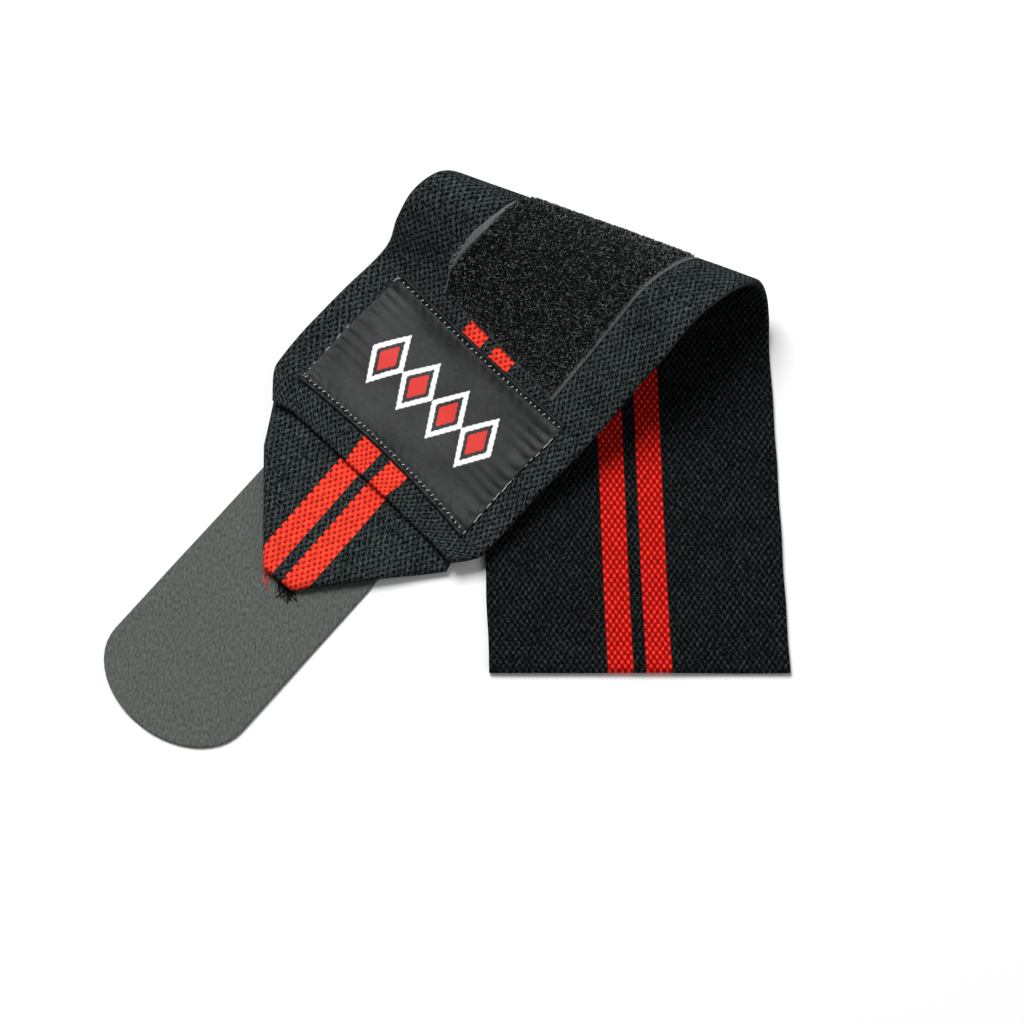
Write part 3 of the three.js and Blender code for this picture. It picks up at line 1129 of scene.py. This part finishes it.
class WRAP_OT_label(bpy.types.Operator):
    """Make the woven satin label with its turned-under long edges"""

    bl_idname = "wrap.make_label"
    bl_label = "Label"

    HEM = 1.7
    HEIGHT = 0.50
    HEM_RISE = 0.30
    SEAM_DEPTH = 0.22
    EDGE_STEPS = (0, 0.1, 0.3, 0.55, 0.9, 1.3)
    GRID_STEP = 0.55

    def execute(self, context):
        surface = band_surface()
        width = sizes().label_width / MM
        length = sizes().label_length / MM
        seat = sizes().band_wall / MM / 2
        side = width / 2
        rows = np.arange(0, length, self.GRID_STEP)
        columns = np.arange(-side, side, self.GRID_STEP)
        along, aside = edged_grid(rows, columns, length, width, self.EDGE_STEPS)
        from_end = np.minimum(along, length - along)
        from_side = side - np.abs(aside)
        rim = edge_round(from_end, 0.55) * edge_round(from_side, 0.4)
        hem = smooth_step(self.HEM + 0.5, self.HEM - 0.6, from_end)
        seam = np.exp(-((from_end - self.HEM) / 0.55) ** 2)
        pucker = self.pucker(along, aside, from_end, from_side)
        slack = smooth_step(1.5, 8, from_end) * smooth_step(0.8, 7, from_side)
        billow = slack * self.billow(along, aside, length)
        height = (self.HEIGHT + self.HEM_RISE * hem - self.SEAM_DEPTH * seam + pucker) * rim + billow
        distance = label_distance(along, aside)
        face = surface.at(distance, LABEL_OFFSET + aside, seat + 0.12 + np.maximum(height, 0.06))
        back = surface.at(distance, LABEL_OFFSET + aside, seat + SEAM_AIR + 0.9 * np.maximum(billow, 0))
        cloth = np.stack([along - length / 2, aside], axis=2)
        piece = wall_piece("label_satin", face, back, cloth)
        dress(piece, satin_material(), "label")
        return {"FINISHED"}

    def pucker(self, along, aside, from_end, from_side):
        """Small gathers beside the seams of the long edges and down the short edges."""
        by_seam = np.exp(-((from_end - self.HEM) / 2.2) ** 2)
        pucker = 0.09 * np.sin(2 * np.pi * aside / 3.4 + along) * by_seam
        gather = 0.16 * np.sin(1.9 * along + 1.2 * np.sin(0.4 * along)) * np.exp(-from_side / 4.5)
        return pucker + gather * smooth_step(0.5, 1.8, from_side) * smooth_step(1, 4, from_end)

    def billow(self, along, aside, length):
        """Dished form of the satin with two lazy waves in it."""
        dished = 1 - (2 * along / length - 1) ** 2
        billow = 0.10 - 0.26 * dished + 0.15 * np.sin(0.17 * aside + 0.20 * along + 0.4)
        return billow + 0.11 * np.sin(0.30 * along - 0.13 * aside)


class WRAP_OT_label_sewing(bpy.types.Operator):
    """Sew the label: pale stitches along its long edges and a loose whip thread down each short edge"""

    bl_idname = "wrap.sew_label"
    bl_label = "Label sewing"

    PITCH = 1.72
    SIDE_THREAD = 0.22
    STITCH_SPOTS = ((-1, -0.05), (-0.6, 0.20), (0.6, 0.20), (1, -0.05))

    def execute(self, context):
        surface = band_surface()
        chance = random.Random(11)
        width = sizes().label_width / MM
        length = sizes().label_length / MM
        top = sizes().band_wall / MM / 2 + 0.62
        thread = thread_material("label_thread", [0.7 * part for part in colours().thread])
        dashes = []
        for row in (WRAP_OT_label.HEM, length - WRAP_OT_label.HEM):
            dashes.extend(self.dash_row(surface, chance, row, width, top))
        dress(thread_piece("label_stitches", dashes, sizes().thread_thickness / MM), thread)
        whips = [self.whip_run(surface, chance, side * width / 2, length, top) for side in (-1, 1)]
        dress(thread_piece("label_side_thread", whips, self.SIDE_THREAD), thread)
        return {"FINISHED"}

    def dash_row(self, surface, chance, row, width, top):
        """Short slanting stitches along one long edge."""
        runs = []
        aside = -width / 2 + 1.0
        while aside < width / 2 - 0.8:
            half = chance.uniform(0.26, 0.42)
            slant = chance.uniform(-0.12, 0.30)
            middle = label_distance(row + chance.uniform(-0.12, 0.12), aside)
            part, lift = np.array(self.STITCH_SPOTS).T
            over = LABEL_OFFSET + aside + part * slant
            runs.append(surface.at(middle + part * half, over, top + lift))
            aside += self.PITCH + chance.uniform(-0.16, 0.16)
        return runs

    def whip_run(self, surface, chance, aside, length, top):
        """Wavering thread that lies on one short edge."""
        down = np.arange(0.6, length - 0.4, 0.7)
        waver = np.array([chance.uniform(-0.16, 0.16) for spot in down])
        lift = np.array([chance.uniform(-0.34, 0.16) for spot in down])
        over = aside - math.copysign(0.25, aside) + waver
        return surface.at(label_distance(down, aside), LABEL_OFFSET + over, top - 0.12 + lift)


class WRAP_OT_fray(bpy.types.Operator):
    """Fray the blunt tip of the point and leave a few loose threads"""

    bl_idname = "wrap.fray_tip"
    bl_label = "Frayed tip"

    BRIGHT_STRANDS = 5
    DARK_STRANDS = 52
    THICKNESS = 0.14

    def execute(self, context):
        chance = random.Random(5)
        bright = thread_material("stripe_fray", colours().stripe)
        dark = thread_material("elastic_fray", [0.12 * part for part in colours().elastic])
        bright_runs = [
            self.strand(chance, chance.uniform(3.2, 4.4), chance.uniform(3.5, 7.0), 0.6)
            for count in range(self.BRIGHT_STRANDS)
        ]
        dark_runs = [
            self.strand(chance, chance.triangular(-5.4, 0.4, -4.4), chance.uniform(0.8, 4.4), 2.2)
            for count in range(self.DARK_STRANDS)
        ]
        dress(thread_piece("tip_fray_bright", bright_runs, self.THICKNESS), bright)
        dress(thread_piece("tip_fray_dark", dark_runs, self.THICKNESS), dark)
        return {"FINISHED"}

    def strand(self, chance, aside, reach, spread):
        """One curling strand from the blunt tip down on to the tape below."""
        root = on_table(POINT_TIP, POINT_HEADING, 0.5, aside)
        drift = chance.uniform(-spread, spread)
        curl = chance.uniform(-0.9, 0.9)
        start = chance.uniform(2.2, 4.2)
        spots = []
        for part in (0.0, 0.25, 0.5, 0.75, 1.0):
            x = root[0] + drift * part ** 1.5 + curl * math.sin(3 * part)
            y = root[1] - part * reach
            spots.append((x, y, max(start * (1 - part) ** 1.6, 1.5)))
        return spots


class WRAP_OT_stage(bpy.types.Operator):
    """Set the floor, the soft light and the camera"""

    bl_idname = "wrap.set_stage"
    bl_label = "Stage"

    AIM = (0.0175, -0.011, 0)
    ELEVATION = 70
    LENS = 130.1

    def execute(self, context):
        scene = context.scene
        bpy.ops.object.select_all(action="DESELECT")
        bpy.ops.mesh.primitive_plane_add(size=8, location=(0, 0, 0))
        floor = context.object
        floor.name = "floor"
        material, shading, inputs = new_material("pale_floor", roughness=0.9, specular=0.2)
        place = shading.add("ShaderNodeTexCoord").outputs["Object"]
        cloudy = shading.noise(place, 3.0, 2.0)
        tone = shading.build_up(1.0, (cloudy, 0.01))
        shading.feed(inputs["Base Color"], shading.shade(solid(colours().floor), tone))
        floor.data.materials.append(material)
        self.soft_light("key_light", (-0.30, 0.56, 1.34), size=0.75, power=24)
        self.soft_light("fill_light", (0.85, -0.35, 1.0), size=0.9, power=3.5)
        world = bpy.data.worlds.new("studio")
        world.use_nodes = True
        sky = world.node_tree.nodes["Background"].inputs
        sky["Color"].default_value = (0.97, 0.985, 1, 1)
        sky["Strength"].default_value = 0.14
        scene.world = world
        scene.view_settings.view_transform = "Standard"
        aim = Vector(self.AIM)
        rise = math.radians(self.ELEVATION)
        away = Vector((0, -math.cos(rise), math.sin(rise)))
        bpy.ops.object.camera_add(location=aim + away, rotation=(math.radians(90) - rise, 0, 0))
        camera = context.object
        camera.data.sensor_width = 36
        camera.data.lens = self.LENS
        scene.camera = camera
        return {"FINISHED"}

    def soft_light(self, name, place, size, power):
        """Square soft light that looks at the wrap."""
        bpy.ops.object.light_add(type="AREA", location=place)
        light = bpy.context.object
        light.name = name
        light.data.size = size
        light.data.energy = power
        light.rotation_euler = (Vector((0, 0, 0)) - Vector(place)).to_track_quat("-Z", "Y").to_euler()


class WRAP_PT_sidebar(bpy.types.Panel):
    """Sidebar list of the wrap's pieces, sizes and colours"""

    bl_idname = "WRAP_PT_sidebar"
    bl_label = "Wrist wrap"
    bl_space_type = "VIEW_3D"
    bl_region_type = "UI"
    bl_category = "Wrist wrap"

    def draw(self, context):
        for operator in OPERATORS:
            self.layout.operator(operator.bl_idname)
        for group in (context.scene.wrap_sizes, context.scene.wrap_colours):
            column = self.layout.column(align=True)
            for name in group.__annotations__:
                column.prop(group, name)


OPERATORS = (
    WRAP_OT_hook_tab,
    WRAP_OT_pointed_end,
    WRAP_OT_band,
    WRAP_OT_loop_patch,
    WRAP_OT_label,
    WRAP_OT_label_sewing,
    WRAP_OT_fray,
    WRAP_OT_stage,
)
CLASSES = (WrapSizes, WrapColours) + OPERATORS + (WRAP_PT_sidebar,)


def register():
    """Make the classes known and give the scene its settings."""
    for each in CLASSES:
        bpy.utils.register_class(each)
    bpy.types.Scene.wrap_sizes = PointerProperty(type=WrapSizes)
    bpy.types.Scene.wrap_colours = PointerProperty(type=WrapColours)


def unregister():
    """Take the settings and the classes away again."""
    del bpy.types.Scene.wrap_colours
    del bpy.types.Scene.wrap_sizes
    for each in reversed(CLASSES):
        bpy.utils.unregister_class(each)


def main():
    """Register the classes, make every piece in order and set the stage."""
    register()
    bpy.ops.object.select_all(action="DESELECT")
    bpy.ops.wrap.make_hook_tab()
    bpy.ops.wrap.make_pointed_end()
    bpy.ops.wrap.make_band()
    bpy.ops.wrap.make_loop_patch()
    bpy.ops.wrap.make_label()
    bpy.ops.wrap.sew_label()
    bpy.ops.wrap.fray_tip()
    bpy.ops.wrap.set_stage()


if __name__ == "__main__":
    main()
